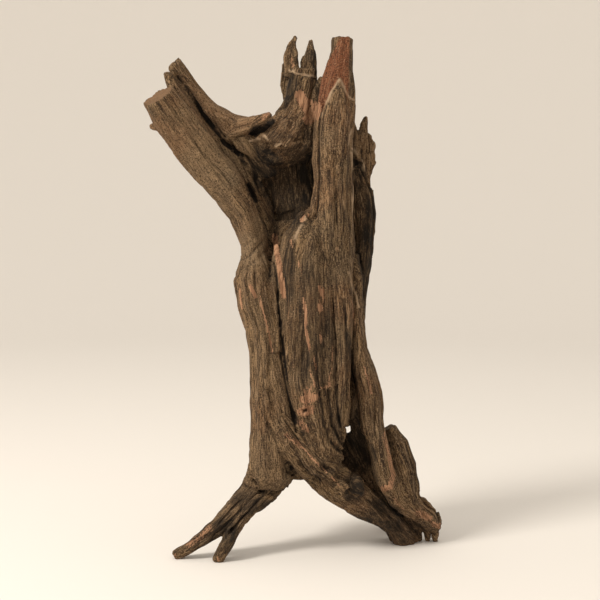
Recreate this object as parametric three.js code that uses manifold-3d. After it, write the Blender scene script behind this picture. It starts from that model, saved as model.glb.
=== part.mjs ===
// Driftwood: the weathered stump of an old vine, grown as one piece and standing on its broken roots.
// Millimetres, +Z up. The side with the deep hollow faces -Y. The origin lies on the floor under the
// middle of the bounding box.
//
// The wood is a bundle of strands that grew together. Each strand is lofted along a smooth curve
// through hand-placed stations, with long weathered ridges in its section, and all of them are joined
// into a single solid. A few cracks and holes are then cut out of it.

import * as THREE from 'three';
import { mergeVertices } from 'three/addons/utils/BufferGeometryUtils.js';
import Module from 'manifold-3d';

const wasm = await Module();
wasm.setup();

// Driving dimensions
const RING_STEP = 26; // longest spacing of the sections along a strand
const RIDGE_PITCH = 17; // spacing of the ridges round a strand
const RIDGE_DEPTH = 1.8; // depth of the valleys between ridges
const RIDGE_WAVE = 70; // length over which a ridge swells and fades
const RIDGE_WANDER = 0.4; // share of the pitch over which a valley may shift
const RIDGE_SWELL = 0.03; // share of its radius by which a ridge swells
const SHALLOWEST = 0.4; // least share of its depth that a valley keeps
const RAGGED = 5; // how far the splinters of a broken end stand out
const SEED = 7;
const FLOOR_BLOCK = 400; // block that trims the feet flat at floor level

// Share of a ridge's pitch at which its two shoulders rise from the valley
const SHOULDERS = [0.3, 0.7];
const MIN_RIDGES = 4;
const MAX_RIDGES = 9;

// Strands, each with stations [x, y, z, half width, half depth] from its upper end to its lower end.
// Half width is measured across the front view, and half depth towards the back. A ragged strand is
// broken off in splinters at its upper end.
const STRANDS = {
  sawnBranch: {
    stations: [
      [-103, -36, 360, 12.5, 13],
      [-92, -29, 342, 15, 14],
      [-66, -18, 306, 16.5, 16],
      [-50, -14, 288, 15.5, 17],
      [-39, -11, 271, 12, 17],
      [-32, -9, 251, 10.5, 17],
      [-27, -8, 229, 10, 16],
    ],
  },
  branchBud: {
    stations: [
      [-110.5, -30, 337, 1.5, 1.5],
      [-108, -30, 337, 2.5, 2.5],
      [-100, -30, 336, 3, 3],
    ],
  },
  upperBranch: {
    stations: [
      [-93, -8, 387, 6, 6],
      [-80, -4, 369, 6.5, 7],
      [-65, 0, 351, 7, 8],
      [-55, 3, 341, 11, 9],
      [-42, 6, 332, 16, 10],
      [-30, 10, 323, 18, 11],
      [-19, 16, 301, 13, 10],
    ],
    ragged: true,
  },
  horn: {
    stations: [
      [-18, -13, 347, 2.5, 4],
      [-25, -10, 344, 3.8, 5],
      [-34, -4, 340.5, 6, 6],
      [-46, 2, 337, 8.5, 8],
    ],
    ragged: true,
  },
  centreProng: {
    stations: [
      [7.5, 14, 385, 11.5, 11],
      [6, 13, 362, 11.5, 12],
      [3, 11, 351, 13, 13],
      [0.5, 8, 341, 16.5, 14],
      [-2.5, 5, 334, 20, 16],
      [-7, 3, 328, 26, 18],
      [-6, 7, 322, 26, 15],
      [-5, 24, 314, 26, 12],
      [-1, 28, 285, 27, 12],
      [4, 28, 255, 28, 14],
    ],
  },
  spikeLeft: {
    stations: [
      [2, 12, 411, 1.5, 2],
      [-0.5, 12, 403, 4.5, 4],
      [-2, 12, 393, 6.5, 5],
      [-1, 12, 379, 7, 6],
    ],
  },
  spikeRight: {
    stations: [
      [14, 16, 409, 2, 2],
      [14, 16, 401, 4.5, 5],
      [12.5, 16, 391, 7, 6],
      [12, 16, 378, 7, 7],
    ],
  },
  spire: {
    stations: [
      [39, -8, 407, 8.5, 7],
      [39, -9, 398, 9, 8],
      [37, -10, 387, 11, 9],
      [35, -11, 374, 13.5, 10],
      [34, -13, 355, 15, 11],
      [31, -15, 335, 16, 12],
      [31, -19, 292, 15, 13],
      [30, -19, 273, 16.5, 15],
      [28, -17, 249, 20.5, 18],
      [26, -12, 217, 18, 16],
    ],
  },
  spireBack: {
    stations: [
      [25, 6, 378, 4, 5],
      [26, 9, 355, 17, 8],
      [33, 14, 335, 19, 9],
      [38, 18, 300, 18, 10],
      [36, 20, 260, 18, 12],
    ],
  },
  ear: {
    stations: [
      [59, 12, 348, 1.5, 2.5],
      [57.5, 12, 338, 6, 4],
      [57, 13, 325, 9, 5],
      [57, 13, 313, 9, 5],
      [58, 13, 303, 7, 6],
      [56, 12, 289, 7.5, 9],
    ],
  },
  darkStrand: {
    stations: [
      [50, 12, 307, 8, 8],
      [55, 12, 285, 10, 11],
      [57, 12, 269, 10, 12],
      [57, 11, 249, 9, 12],
      [53, 8, 209, 7, 12],
      [50, 8, 170, 7, 14],
      [46, 10, 130, 9, 14],
      [42, 12, 105, 8, 12],
    ],
  },
  leftLobe: {
    stations: [
      [-29, -8, 262, 6, 10],
      [-30, -8, 246, 9.5, 15],
      [-30.5, -9, 233, 13.5, 19],
      [-31, -10, 218, 17, 22],
      [-27.5, -12, 200, 17.5, 23],
      [-22.5, -12, 182, 16, 23],
      [-20, -12, 162, 15.5, 23],
      [-20, -15, 99, 15, 23],
      [-19, -17, 76, 17.5, 23],
      [-18, -18, 62, 19.5, 20],
      [-18, -18, 53, 14, 14],
    ],
  },
  diagonalRoot: {
    stations: [
      [-16, -22, 155, 7, 12],
      [-13, -24, 132, 8.5, 13],
      [-9, -26, 112, 10, 15],
      [-1, -26, 92, 13.5, 17],
      [14, -22, 76, 15.5, 18],
      [28, -16, 61, 16, 18],
      [57, 2, 36, 12, 16],
      [72, 9, 26, 9.5, 15],
      [85, 14, 14, 8.5, 13],
      [92, 18, -4, 8, 10],
    ],
  },
  centreStrand: {
    stations: [
      [22, -16, 276, 4, 6],
      [16, -18, 266, 11, 12],
      [13, -18, 250, 20, 19],
      [11, -16, 226, 24, 24],
      [11, -16, 186, 24, 26],
      [13, -16, 147, 23.5, 26],
      [16, -18, 115, 20.5, 25],
      [22, -18, 91, 17, 22],
      [26, -14, 71, 12, 17],
      [30, -10, 57, 7, 11],
    ],
  },
  rightCentreStrand: {
    stations: [
      [40, -10, 268, 4, 6],
      [38, -16, 248, 9, 13],
      [39, -19, 194, 8.5, 15],
      [38, -19, 163, 8, 15],
      [36, -20, 103, 8, 16],
      [34, -18, 88, 6.5, 13],
      [31, -14, 76, 4, 8],
    ],
  },
  rightStrand: {
    stations: [
      [48, 2, 236, 5, 9],
      [50, -3, 214, 7, 15],
      [49.5, -6, 185, 7, 16],
      [52, -8, 163, 7, 16],
      [57.5, -10, 142, 9.5, 16],
      [61.5, -12, 121, 10.5, 15],
      [63, -13, 100, 9.5, 14],
      [68.5, -13, 81, 7.5, 13],
      [72, -13, 65, 7.5, 12],
      [76.5, -11, 52, 8, 11],
      [84, -5, 41, 7.5, 10],
      [95, 4, 31, 6.5, 9],
      [107, 11, 22, 6, 8],
      [115, 16, 16, 4.5, 6],
    ],
  },
  footLobe: {
    stations: [
      [78, 6, 97, 5, 10],
      [84, 4, 84, 8.5, 13],
      [88, 3, 66, 11, 15],
      [90, 4, 52, 11, 15],
      [93, 7, 39, 10.5, 14],
      [102, 12, 30, 10, 12],
      [112, 16, 20, 8.5, 10],
      [118, 19, 12, 5, 7],
    ],
  },
  seamStrand: {
    stations: [
      [-12, -17, 238, 5, 8],
      [-11, -20, 214, 7, 11],
      [-8, -20, 174, 7, 11],
      [-4, -23, 136, 7, 11],
      [1, -25, 112, 6, 10],
    ],
  },
  core: {
    stations: [
      [4, 24, 261, 26, 18],
      [6, 16, 232, 35.5, 27],
      [8, 12, 200, 37, 32],
      [9, 10, 168, 35.5, 34],
      [8, 8, 136, 34, 34],
      [6, 8, 111, 30.5, 34],
      [4, 6, 87, 28, 30],
      [0, 2, 66, 24, 22],
      [-1, 0, 56, 14, 12],
    ],
  },
  leftProng: {
    stations: [
      [-28, -12, 60, 10, 12],
      [-37, -19, 48, 8, 11],
      [-47, -25, 38, 8, 11],
      [-58, -29, 25, 8, 10],
      [-68, -31, 18, 6, 9],
      [-80, -33, 10, 4.5, 7],
      [-93, -34, 2, 3.5, 4.5],
    ],
  },
  rightProng: {
    stations: [
      [-9, -12, 59, 8, 10],
      [-21, -21, 47, 6.5, 9],
      [-32, -29, 39, 6, 8],
      [-41, -34, 31, 6, 8],
      [-48, -38, 23, 6, 8],
      [-53, -41, 12, 5, 7],
      [-59, -43, 0, 3.5, 4.5],
    ],
  },
  sawnSplinter: {
    stations: [
      [-97, -22, 378, 2, 2.5],
      [-91, -20, 366, 4, 5],
      [-80, -16, 348, 6, 7],
      [-68, -12, 328, 6, 8],
    ],
    ragged: true,
  },
  branchWeb: {
    stations: [
      [-92, -5, 379, 4, 5],
      [-84, -2, 366, 6, 5],
      [-70, 3, 340, 7, 6],
      [-57, 5, 320, 10, 8],
      [-42, 9, 300, 14, 8],
      [-30, 12, 270, 14, 11],
      [-24, 12, 245, 12, 12],
    ],
  },
  splinter: {
    stations: [
      [-13, -22, 247, 1.6, 2],
      [-11.5, -26, 232, 2.2, 3],
      [-8.5, -29, 216, 2.4, 4],
      [-6, -29, 200, 2, 4],
    ],
  },
  hollowWall: {
    stations: [
      [36, 12, 138, 12, 9],
      [42, 15, 122, 16, 10],
      [46, 19, 104, 18, 10],
      [50, 19, 76, 23, 11],
      [60, 15, 54, 24, 12],
      [77, 12, 34, 14, 11],
    ],
  },
  toeInner: {
    stations: [
      [78, 20, 22, 6, 8],
      [84, 25, 8, 5.5, 7],
      [88, 28, -4, 4.5, 6],
    ],
  },
  toeMiddle: {
    stations: [
      [88, 18, 24, 7, 8],
      [95, 21, 9, 6.5, 8],
      [98, 23, -4, 5, 6],
    ],
  },
  toeOuter: {
    stations: [
      [98, 18, 22, 5, 7],
      [103, 23, 8, 3.2, 6],
      [104, 26, -4, 2.2, 5],
    ],
  },
  toeTip: {
    stations: [
      [106, 18, 20, 4, 6],
      [110.5, 22, 7, 2.4, 5],
      [111, 25, -4, 1.6, 4],
    ],
  },
  backLeft: {
    stations: [
      [-6, 30, 262, 12, 10],
      [-10, 34, 220, 15, 14],
      [-8, 36, 160, 15, 14],
      [-8, 32, 110, 14, 13],
      [-12, 20, 70, 12, 12],
    ],
  },
  backRight: {
    stations: [
      [28, 30, 270, 12, 10],
      [30, 34, 220, 15, 13],
      [31, 36, 170, 16, 14],
      [29, 36, 130, 14, 13],
      [26, 33, 100, 12, 12],
      [23, 25, 70, 9, 9],
    ],
  },
  spireTongue: {
    stations: [
      [35.5, -20, 374, 1.5, 2.5],
      [35, -22, 362, 6.5, 5],
      [33.5, -24, 345, 11.5, 6],
      [32, -25.5, 320, 12.5, 7],
      [31, -24, 295, 10, 7],
    ],
  },
  prongFlap: {
    stations: [
      [-7, 20, 391, 3, 3],
      [-6.5, 20, 373, 5, 4],
      [-3, 20, 354, 5, 5],
    ],
    ragged: true,
  },
  toeEnd: {
    stations: [
      [113, 18, 18, 4, 6],
      [117, 21, 8, 2.6, 5],
      [117, 23, -4, 1.6, 4],
    ],
  },
  rootKnob: {
    stations: [
      [33, -25, 61, 4.5, 5],
      [36.5, -29, 53, 7.5, 7],
      [39, -29, 45, 4.5, 5],
    ],
  },
  outerKnob: {
    stations: [
      [46, -17, 62, 4, 5],
      [48.5, -21, 55, 6.5, 6.5],
      [51, -20, 47, 4, 5],
    ],
  },
  rearRoot: {
    stations: [
      [44, 20, 76, 9, 10],
      [57, 32, 63, 13, 13],
      [72, 46, 43, 13, 13],
      [84, 60, 20, 12, 12],
      [92, 70, -4, 10, 11],
    ],
  },
};

// Holes cut out of the joined strands, with stations as above
const HOLLOWS = {
  throughHole: {
    stations: [
      [42.6, -40, 103.6, 3.5, 4],
      [44, 0, 97, 3.5, 4],
      [46, 60, 87, 4, 5],
    ],
  },
  branchSlot: {
    stations: [
      [-38, -31, 294, 1.2, 6],
      [-36, -29, 286, 2, 8],
      [-32, -27, 277, 1.2, 6],
    ],
  },
};

// A repeatable stream of numbers from 0 to 1.
function seededRandom(seed) {
  let state = seed;
  return () => {
    state = (state * 16807) % 2147483647;
    return state / 2147483647;
  };
}

// Centre line and half sizes of a strand, both smooth functions of the same 0 to 1 parameter.
function strandCurves(stations) {
  const centres = stations.map(([x, y, z]) => new THREE.Vector3(x, y, z));
  const halves = stations.map(([, , , width, depth]) => new THREE.Vector3(width, depth, 0));
  return {
    centre: new THREE.CatmullRomCurve3(centres, false, 'centripetal'),
    half: new THREE.CatmullRomCurve3(halves, false, 'catmullrom', 0.3),
  };
}

// Curve parameters of a strand's sections: every station, and between stations as RING_STEP asks.
function ringParameters(stations, centre) {
  const spans = stations.length - 1;
  const parameters = [];
  for (let span = 0; span < spans; span += 1) {
    const length = centre.getPoint(span / spans).distanceTo(centre.getPoint((span + 1) / spans));
    const steps = Math.ceil(length / RING_STEP);
    for (let step = 0; step < steps; step += 1) {
      parameters.push((span + step / steps) / spans);
    }
  }
  parameters.push(1);
  return parameters;
}

// Section points as { angle, valley, phase } going once round. Valley marks the bottom of a groove, and
// phase says where along the strand a ridge swells.
function ridgedSection(ridges, random) {
  const pitch = (2 * Math.PI) / ridges;
  const points = [];
  for (let ridge = 0; ridge < ridges; ridge += 1) {
    const start = pitch * (ridge + RIDGE_WANDER * (random() - 0.5));
    const phase = 2 * Math.PI * random();
    points.push({ angle: start, valley: true, phase });
    SHOULDERS.forEach((share) => {
      points.push({ angle: pitch * (ridge + share), valley: false, phase });
    });
  }
  return points;
}

// One strand as a closed tube with ridges along it.
function strandGeometry({ stations, ragged = false }, seed) {
  const random = seededRandom(seed);
  const { centre, half } = strandCurves(stations);
  const parameters = ringParameters(stations, centre);
  const widest = stations.reduce((most, [, , , width, depth]) => Math.max(most, width + depth), 0);
  const fitting = Math.round((Math.PI * widest) / RIDGE_PITCH);
  const ridges = THREE.MathUtils.clamp(fitting, MIN_RIDGES, MAX_RIDGES);
  const section = ridgedSection(ridges, random);
  const sides = section.length;

  const positions = [];
  const tangent = new THREE.Vector3();
  const widthAxis = new THREE.Vector3();
  const depthAxis = new THREE.Vector3();
  const point = new THREE.Vector3();
  parameters.forEach((t, ring) => {
    const middle = centre.getPoint(t);
    const size = half.getPoint(t);
    centre.getTangent(t, tangent);
    depthAxis.set(0, 1, 0).addScaledVector(tangent, -tangent.y).normalize();
    widthAxis.crossVectors(depthAxis, tangent);
    const along = t * centre.getLength();
    section.forEach(({ angle, valley, phase }) => {
      const swell = 0.5 + 0.5 * Math.sin((2 * Math.PI * along) / RIDGE_WAVE + phase);
      const depth = RIDGE_DEPTH * THREE.MathUtils.lerp(SHALLOWEST, 1, swell);
      const groove = valley ? depth / Math.max(size.x, size.y) : -RIDGE_SWELL * swell;
      point
        .copy(middle)
        .addScaledVector(widthAxis, size.x * Math.cos(angle) * (1 - groove))
        .addScaledVector(depthAxis, size.y * Math.sin(angle) * (1 - groove));
      if (ragged && ring === 0) {
        point.addScaledVector(tangent, RAGGED * (random() - 0.5));
      }
      positions.push(point.x, point.y, point.z);
    });
  });

  const triangles = [];
  const lastRing = (parameters.length - 1) * sides;
  for (let ring = 0; ring < lastRing; ring += sides) {
    for (let side = 0; side < sides; side += 1) {
      const next = (side + 1) % sides;
      const above = ring + sides;
      triangles.push(ring + side, ring + next, above + next, ring + side, above + next, above + side);
    }
  }
  // End caps are fans round the centre line's first and last points
  const capStart = positions.length / 3;
  positions.push(...centre.getPoint(0).toArray(), ...centre.getPoint(1).toArray());
  for (let side = 0; side < sides; side += 1) {
    const next = (side + 1) % sides;
    triangles.push(capStart, next, side, capStart + 1, lastRing + side, lastRing + next);
  }
  return new THREE.BufferGeometry()
    .setAttribute('position', new THREE.Float32BufferAttribute(positions, 3))
    .setIndex(triangles);
}

// A closed geometry with shared vertices as a solid.
function solidOf(geometry) {
  return new wasm.Manifold(
    new wasm.Mesh({
      numProp: 3,
      vertProperties: geometry.getAttribute('position').array,
      triVerts: new Uint32Array(geometry.index.array),
    }),
  );
}

// A solid as a three.js geometry.
function geometryOf(solid) {
  const { vertProperties, triVerts } = solid.getMesh();
  return new THREE.BufferGeometry()
    .setAttribute('position', new THREE.BufferAttribute(vertProperties, 3))
    .setIndex(new THREE.BufferAttribute(triVerts, 1));
}

// One solid for each entry of a table of strands or hollows, each with ridges of its own.
function solidsOf(table) {
  return Object.values(table).map((entry, index) => solidOf(strandGeometry(entry, SEED + index)));
}

function joinStrands() {
  return solidsOf(STRANDS).reduce((whole, strand) => whole.add(strand));
}

function cutHollows(whole) {
  return solidsOf(HOLLOWS).reduce((left, hollow) => left.subtract(hollow), whole);
}

// Trims the feet to the floor plane, so that each one rests on a small flat spot.
function trimFeet(whole) {
  const block = new THREE.BoxGeometry(FLOOR_BLOCK, FLOOR_BLOCK, FLOOR_BLOCK);
  block.translate(0, 0, -FLOOR_BLOCK / 2);
  block.deleteAttribute('normal').deleteAttribute('uv');
  return whole.subtract(solidOf(mergeVertices(block)));
}

// Moves a geometry sideways until the middle of its bounding box is over the origin.
function centreOverOrigin(geometry) {
  geometry.computeBoundingBox();
  const middle = geometry.boundingBox.getCenter(new THREE.Vector3());
  return geometry.translate(-middle.x, -middle.y, 0);
}

const driftwood = new THREE.Group();
const geometry = centreOverOrigin(geometryOf(trimFeet(cutHollows(joinStrands()))));
const wood = new THREE.MeshStandardMaterial({ color: 0x6a5138, roughness: 0.9, metalness: 0 });
const mesh = new THREE.Mesh(geometry, wood);
mesh.name = 'driftwood';
driftwood.add(mesh);

export default driftwood;
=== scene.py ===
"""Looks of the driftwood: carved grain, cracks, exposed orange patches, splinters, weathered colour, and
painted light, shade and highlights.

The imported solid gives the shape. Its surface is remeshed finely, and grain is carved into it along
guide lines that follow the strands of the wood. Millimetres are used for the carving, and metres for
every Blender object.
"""

import itertools
import math
from typing import NamedTuple

import bpy
import numpy as np
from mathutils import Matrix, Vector


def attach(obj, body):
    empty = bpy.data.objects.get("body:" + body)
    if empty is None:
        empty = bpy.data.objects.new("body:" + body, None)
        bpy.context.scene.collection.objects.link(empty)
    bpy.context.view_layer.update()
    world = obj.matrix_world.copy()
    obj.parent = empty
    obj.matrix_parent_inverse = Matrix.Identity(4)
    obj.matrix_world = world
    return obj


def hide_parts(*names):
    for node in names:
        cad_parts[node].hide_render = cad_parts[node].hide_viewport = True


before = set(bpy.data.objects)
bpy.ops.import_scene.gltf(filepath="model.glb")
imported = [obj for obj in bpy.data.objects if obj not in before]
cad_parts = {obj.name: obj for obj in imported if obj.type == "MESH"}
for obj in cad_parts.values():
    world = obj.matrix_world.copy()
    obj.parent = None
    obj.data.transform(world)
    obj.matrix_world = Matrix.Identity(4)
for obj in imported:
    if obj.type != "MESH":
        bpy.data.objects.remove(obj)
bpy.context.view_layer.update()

MM = 0.001

# The fine mesh: edge of a voxel, most triangles, and the least height over the floor
VOXEL = 1.0
TRIANGLES = 190000
FLOOR_GAP = 0.15

# Smoothing: how far each round pulls a point towards its neighbours, and how many rounds there are
EVEN_PULLS = (0.5,)
SHAPE_PULLS = (0.55, -0.5)
SHAPE_ROUNDS = 10
BLEND_ROUNDS = 130
SMALL_HOLLOW_ROUNDS = 6
LARGE_HOLLOW_ROUNDS = 70

# Guide lines: step between samples, gap between the lengths of two lines, and points compared at a time
GUIDE_STEP = 5.0
STRAND_SPACING = 400.0
POINTS_AT_A_TIME = 4000

# Relief of the weathered surface: heights and depths, and how wide a furrow is within its noise
LUMP_HEIGHT = 1.2
SMALL_LUMP_HEIGHT = 0.5
SWELL_HEIGHT = 1.1
PLATE_HEIGHT = 0.7
SCALE_HEIGHT = 0.4
FURROW_DEPTH = 0.75
FURROW_WIDTH = 0.25
FINE_FURROW_DEPTH = 0.45
FINE_FURROW_WIDTH = 0.3
CRACK_DEPTH = 2.8
CRACK_WIDTH = 0.1
SMALL_CRUMB_SHARE = 0.6
KNOT_UNEVENNESS = 1.6
KNOT_RING_HEIGHT = 0.3
KNOT_RING_SPACING = 2.6
PALE_HALF_WIDTH = 0.8
PALE_HEIGHT = 0.4

# Shares of a knot's radius: where its swelling starts to fall, and the floor and the rim of its hole
KNOT_CORE = 0.35
KNOT_HOLE_FLOOR = 0.15
KNOT_HOLE_RIM = 0.5

# Where noise starts to make something, and where it makes all of it
PLATE_STEP = (-0.07, 0.07)
SCALE_STEP = (-0.08, 0.08)
FURROW_STEP = (-0.2, 0.4)
CRACK_STEP = (-0.15, 0.3)
CREASE_STEP = (-0.4, 0.2)
PALE_STEP = (-0.5, 0.1)

# Least shares of furrows and creases, and what noise adds to them
FURROW_LEAST = 0.3
FURROW_MORE = 0.7
CREASE_LEAST = 0.55
CREASE_MORE = 0.45

# Where things fade: lines in half widths, places in radii, and the front by how a face turns
LINE_FADE = (0.5, 1.5)
PLACE_FADE = (0.55, 1.0)
FRONT_FADE = (-0.1, 0.35)

# Depths of small and large hollows that get painted shade, their shares, and heights of small ridges
# that get wear and a painted highlight
SMALL_HOLLOW_SHADE_DEPTHS = (0.05, 0.6)
SMALL_HOLLOW_SHADE_SHARE = 0.6
LARGE_HOLLOW_SHADE_DEPTHS = (0.3, 3.2)
LARGE_HOLLOW_SHADE_SHARE = 0.4
WORN_HIGHLIGHT_HEIGHTS = (0.05, 0.5)

# How far lines and places wander from where they are drawn
GRAIN_SWAY = (3.0, 3.0, 10.0)
LINE_SWAY = 1.5
PALE_SWAY = 1.2
HEART_SWAY = 2.5
SHADE_AND_STAIN_SWAY = 6.0
PAINTED_LIGHT_SWAY = 9.0

# The saw cut at the end of the side branch, which ends between two radii and on faces turned away
SAWN_CENTRE = np.array([-107.2, -52.1, 360.0])
SAWN_AXIS = np.array([-0.5, -0.33, 0.8])
SAWN_RADII = (16, 20)
SAWN_FACING = (0.6, 0.8)

# The bare red top of the spire, above a pointed tongue of grey wood
TONGUE_X = 32
TONGUE_TOP = 374
TONGUE_SLOPE = 2.2
TONGUE_EDGE = 1.5
HEART_TOP = 400
HEART_LEFT_AT_TOP = 29
HEART_LEFT_BELOW = 17
HEART_LEFT_SLOPE = 0.5
HEART_RIGHT = 40
HEART_EDGE = 1
HEART_DEPTHS = (-20, -14)
HEART_HEIGHTS = (335, 350)

# Slivers: sizes, how far they tilt and sag, and their shape as shares of a width
SLIVER_SEED = 11
SLIVER_LENGTH = (3.0, 8.0)
SLIVER_WIDTH = (0.8, 1.7)
SLIVER_TILT = (0.0, 0.25)
SLIVER_SAG = 0.8
SLIVER_ROOT = 1.5
SLIVER_SIDES = 3
SLIVER_RINGS = 3
SLIVER_TAPER = 0.7
SLIVER_FLATNESS = 0.6
SLIVER_SIDE_HINT = (0.3, 0.9, 0.2)
# Share of the wear and painted highlight of ridges on every sliver
SLIVER_WORN_HIGHLIGHT = 0.4

# Whole numbers that scramble a cell's place and a seed
HASH_X = 374761393
HASH_Y = 668265263
HASH_Z = 2147483647
HASH_SEED = 144665
HASH_MIX = 1274126177

# Sockets of Blender's mix node that take and give colours
MIX_INPUTS = (0, 6, 7)
MIX_RESULT = 2

# Floor, light and camera: metres, watts and millimetres of lens
FLOOR_RADIUS = 1.7
FLOOR_CURVE = 1.5
FLOOR_CORNERS = 96
FLOOR_STEPS = 16
FLOOR_COLOUR = (0.84, 0.8, 0.75)
FLOOR_ROUGHNESS = 0.9
SKY_COLOUR = (0.8, 0.75, 0.68)
KEY_PLACE = (-1.15, -0.95, 1.45)
KEY_TARGET = (0, 0, 0.2)
KEY_SIZE = 0.6
KEY_POWER = 29
KEY_COLOUR = (1.0, 0.95, 0.88)
CAMERA_DISTANCE = 1.1
CAMERA_ELEVATION = math.radians(4)
CAMERA_TARGET = Vector((0.0014, -0.0161, 0.201))
CAMERA_SENSOR = 36
CAMERA_LENS = 82.5

# Strands of the wood as lines of (x, y, z, radius), each from its upper end to its lower end
GUIDES = {
    "sawn_branch": [(-107, -52, 360, 13), (-70, -34, 306, 16), (-43, -27, 271, 12), (-36, -25, 251, 11),
                    (-34, -25, 233, 14), (-34, -26, 218, 18), (-31, -28, 200, 19), (-26, -28, 182, 19),
                    (-24, -31, 99, 19), (-22, -34, 53, 14)],
    "upper_branch": [(-97, -25, 387, 6), (-69, -17, 351, 8), (-46, -11, 332, 13), (-23, -1, 301, 12)],
    "horn": [(-23, -25, 348, 3), (-38, -19, 338, 8), (-50, -15, 334, 10)],
    "branch_web": [(-96, -26, 379, 5), (-62, -17, 320, 9), (-28, -5, 245, 12)],
    "centre_prong": [(2, -3, 385, 12), (-2, -3, 351, 14), (-8, 3, 315, 20), (-4, 11, 260, 16),
                     (-12, 19, 160, 15), (-16, 3, 70, 12)],
    "spike_left": [(-2, -5, 411, 3), (-6, -5, 393, 6), (-5, -5, 379, 7)],
    "spike_right": [(10, -1, 409, 3), (8, -1, 391, 7), (8, -1, 378, 7)],
    "spire": [(35, -25, 407, 8), (31, -28, 374, 12), (27, -32, 335, 14), (27, -36, 292, 14),
              (26, -35, 249, 18), (32, -35, 210, 14), (35, -35, 163, 12), (32, -37, 103, 12),
              (28, -31, 76, 6)],
    "spire_back": [(21, -11, 372, 7), (32, -3, 335, 12), (30, 5, 265, 14), (27, 19, 170, 15),
                   (19, 8, 70, 9)],
    "ear": [(51, -4, 344, 5), (51, -3, 316, 7), (51, -5, 289, 8)],
    "dark_strand": [(46, -5, 307, 8), (53, -5, 269, 11), (49, -9, 209, 10), (42, -7, 130, 12),
                    (38, -5, 105, 10)],
    "diagonal_root": [(-20, -39, 155, 10), (-13, -43, 112, 13), (10, -39, 76, 17), (53, -15, 36, 14),
                      (88, 1, -4, 9)],
    "centre_strand": [(18, -33, 276, 5), (8, -33, 226, 24), (9, -33, 147, 24), (18, -35, 91, 20),
                      (26, -27, 57, 9)],
    "right_strand": [(44, -15, 236, 7), (46, -23, 185, 11), (58, -29, 121, 12), (65, -30, 81, 10),
                     (69, -30, 65, 10), (80, -21, 41, 9), (91, -12, 31, 8), (111, 0, 16, 6)],
    "foot_lobe": [(74, -11, 97, 8), (84, -14, 66, 13), (89, -10, 39, 12), (114, 2, 6, 7)],
    "core": [(0, 7, 261, 22), (4, -5, 200, 35), (4, -9, 136, 34), (-5, -17, 56, 13)],
    "prong_left": [(-32, -34, 60, 12), (-51, -42, 38, 10), (-72, -48, 18, 8), (-97, -51, 2, 4)],
    "prong_right": [(-13, -35, 59, 10), (-36, -46, 39, 7), (-57, -58, 12, 6), (-63, -60, 0, 4)],
    "hollow_wall": [(32, -5, 138, 10), (42, 2, 104, 14), (63, -1, 54, 14), (73, -5, 34, 12)],
    "rear_root": [(40, 3, 76, 10), (68, 29, 43, 13), (88, 53, -4, 10)],
    "bell": [(6, -10, 372, 8), (2, -14, 352, 12), (-8, -18, 336, 15), (-20, -20, 322, 13)],
}

# Orange wood laid bare on the front, and painted highlights along the lit upper edge of the diagonal
# root: lines of (x, z) points, with a half width and a strength
BARE_AND_HIGHLIGHT_STREAKS = [
    ([(-19, 252), (-15, 232), (-11, 207)], 2.2, 1.0),
    ([(3, 205), (6, 196), (6, 180), (9, 165)], 1.1, 0.9),
    ([(17.5, 212), (19, 209)], 2.6, 1.1),
    ([(16.5, 200), (17.5, 196)], 2.2, 1.0),
    ([(17, 178), (18, 170)], 1.2, 0.6),
    ([(27, 170), (26, 150), (22, 135)], 1.0, 0.5),
    ([(1, 232), (3, 224)], 1.6, 0.5),
    ([(-6, 250), (-4, 244)], 1.4, 0.5),
    ([(12, 160), (14, 150)], 1.4, 0.6),
    ([(9, 150), (12, 140), (8, 132)], 1.2, 0.55),
    ([(5, 134), (12, 138), (20, 135), (28, 140)], 1.8, 0.55),
    ([(5, 127), (13, 129)], 4.2, 0.66),
    ([(3, 117), (9, 119)], 4.8, 0.64),
    ([(2, 108), (6, 103)], 3.4, 0.6),
    # Painted highlight: the lit upper edge of the diagonal root
    ([(-9, 99), (2, 90)], 2.2, 0.55),
    ([(2, 90), (14, 78), (32, 58)], 1.1, 0.55),
    ([(-37, 214), (-33, 206)], 1.6, 0.85),
    ([(-46, 212), (-44, 196)], 1.0, 0.75),
    ([(-30, 206), (-24, 182), (-20, 162)], 0.9, 0.8),
    ([(68, 96), (72, 80), (75, 64)], 2.6, 0.58),
    ([(75, 62), (73, 55), (67, 52)], 3.2, 0.62),
    ([(75, 46), (80, 38), (84, 34)], 1.4, 0.5),
    ([(97, 29), (106, 23)], 3.4, 0.6),
    ([(110, 18), (115, 15)], 2.8, 0.6),
    ([(-86, 13), (-70, 24)], 4.0, 0.52),
    ([(-97, 3), (-96, 4)], 1.6, 0.6),
    ([(-62, 2), (-62, 4)], 1.6, 0.6),
    ([(7, 269), (3, 265)], 1.8, 1.0),
    ([(1, 364), (4, 358), (9, 350), (8, 344)], 4.4, 0.78),
    ([(9, 357), (14, 354), (13, 346)], 4.2, 0.8),
    ([(-22, 350), (-28, 344)], 2.2, 0.6),
    ([(-6, 398), (-4, 386)], 1.6, 0.5),
    ([(42, 200), (45, 180)], 0.9, 0.6),
    ([(52, 150), (58, 128)], 1.2, 0.6),
]

# Pale broken edges of the outer wood on the front: lines of (x, z) points
PALE_EDGES = [
    [(18, 345), (21, 356), (26, 362), (29, 370), (32, 374), (34, 371), (36, 365), (40, 361), (44, 359)],
    [(41, 335), (40, 323), (43, 308), (43, 280), (43, 262)],
    [(-8, 385), (-2, 381), (4, 380), (13, 378)],
    [(-38, 327), (-32, 328), (-27, 331), (-22, 326), (-17, 322), (-13, 324)],
    [(6, 268), (1, 258), (-3, 251)],
    [(42, 322), (46, 318), (51, 313), (54, 300)],
    [(40, 224), (41, 216), (46, 206), (48, 196)],
]

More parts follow.
